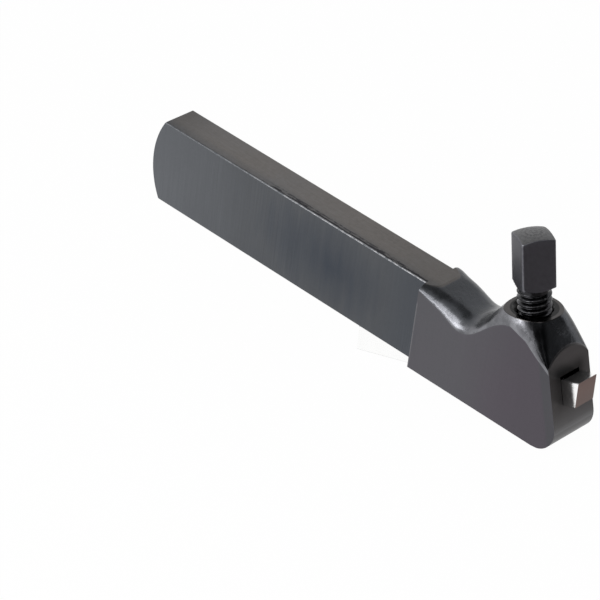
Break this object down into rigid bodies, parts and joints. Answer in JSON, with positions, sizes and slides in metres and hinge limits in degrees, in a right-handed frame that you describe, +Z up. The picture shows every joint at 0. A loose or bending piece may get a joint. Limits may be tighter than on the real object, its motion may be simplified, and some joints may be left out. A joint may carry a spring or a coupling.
{
  "type": "turning tool holder",
  "caption": "Straight forged turning tool holder for a lathe tool post: flat ground shank, drop-forged head with an inclined square bit slot, square-head clamp screw and square tool bit.",
  "frame": {"origin": "on the shank's ground underside, in the middle of its width, below the shoulder where the head starts", "axes": "+X forward along the shank towards the bit's cutting end, +Y across the shank, +Z up from the underside towards the clamp screw"},
  "size_m": [0.1335, 0.0142, 0.0548],
  "materials": {
    "blackened_forging": "black oxide, ground sides and top with fine grinding lines, forged skin in the scoop and on the nose",
    "blackened_screw": "black oxide, smooth flats and a faintly grained crown",
    "ground_tool_steel": "bright ground high-speed steel"
  },
  "bodies": {
    "holder": {"holder_body": "blackened_forging"},
    "screw": {"clamp_screw": "blackened_screw"},
    "bit": {"tool_bit": "ground_tool_steel"}
  },
  "joints": [
    {"name": "bit_slide", "type": "slide", "parent": "holder", "child": "bit", "axis": [0.9537, 0, 0.3007], "range_m": [-0.003, 0.025]},
    {"name": "clamp_screw_turn", "type": "hinge", "parent": "holder", "child": "screw", "pos_m": [0.0274, 0, 0.02852], "axis": [-0.2079, 0, 0.9781], "range_deg": [0, 405]}
  ]
}
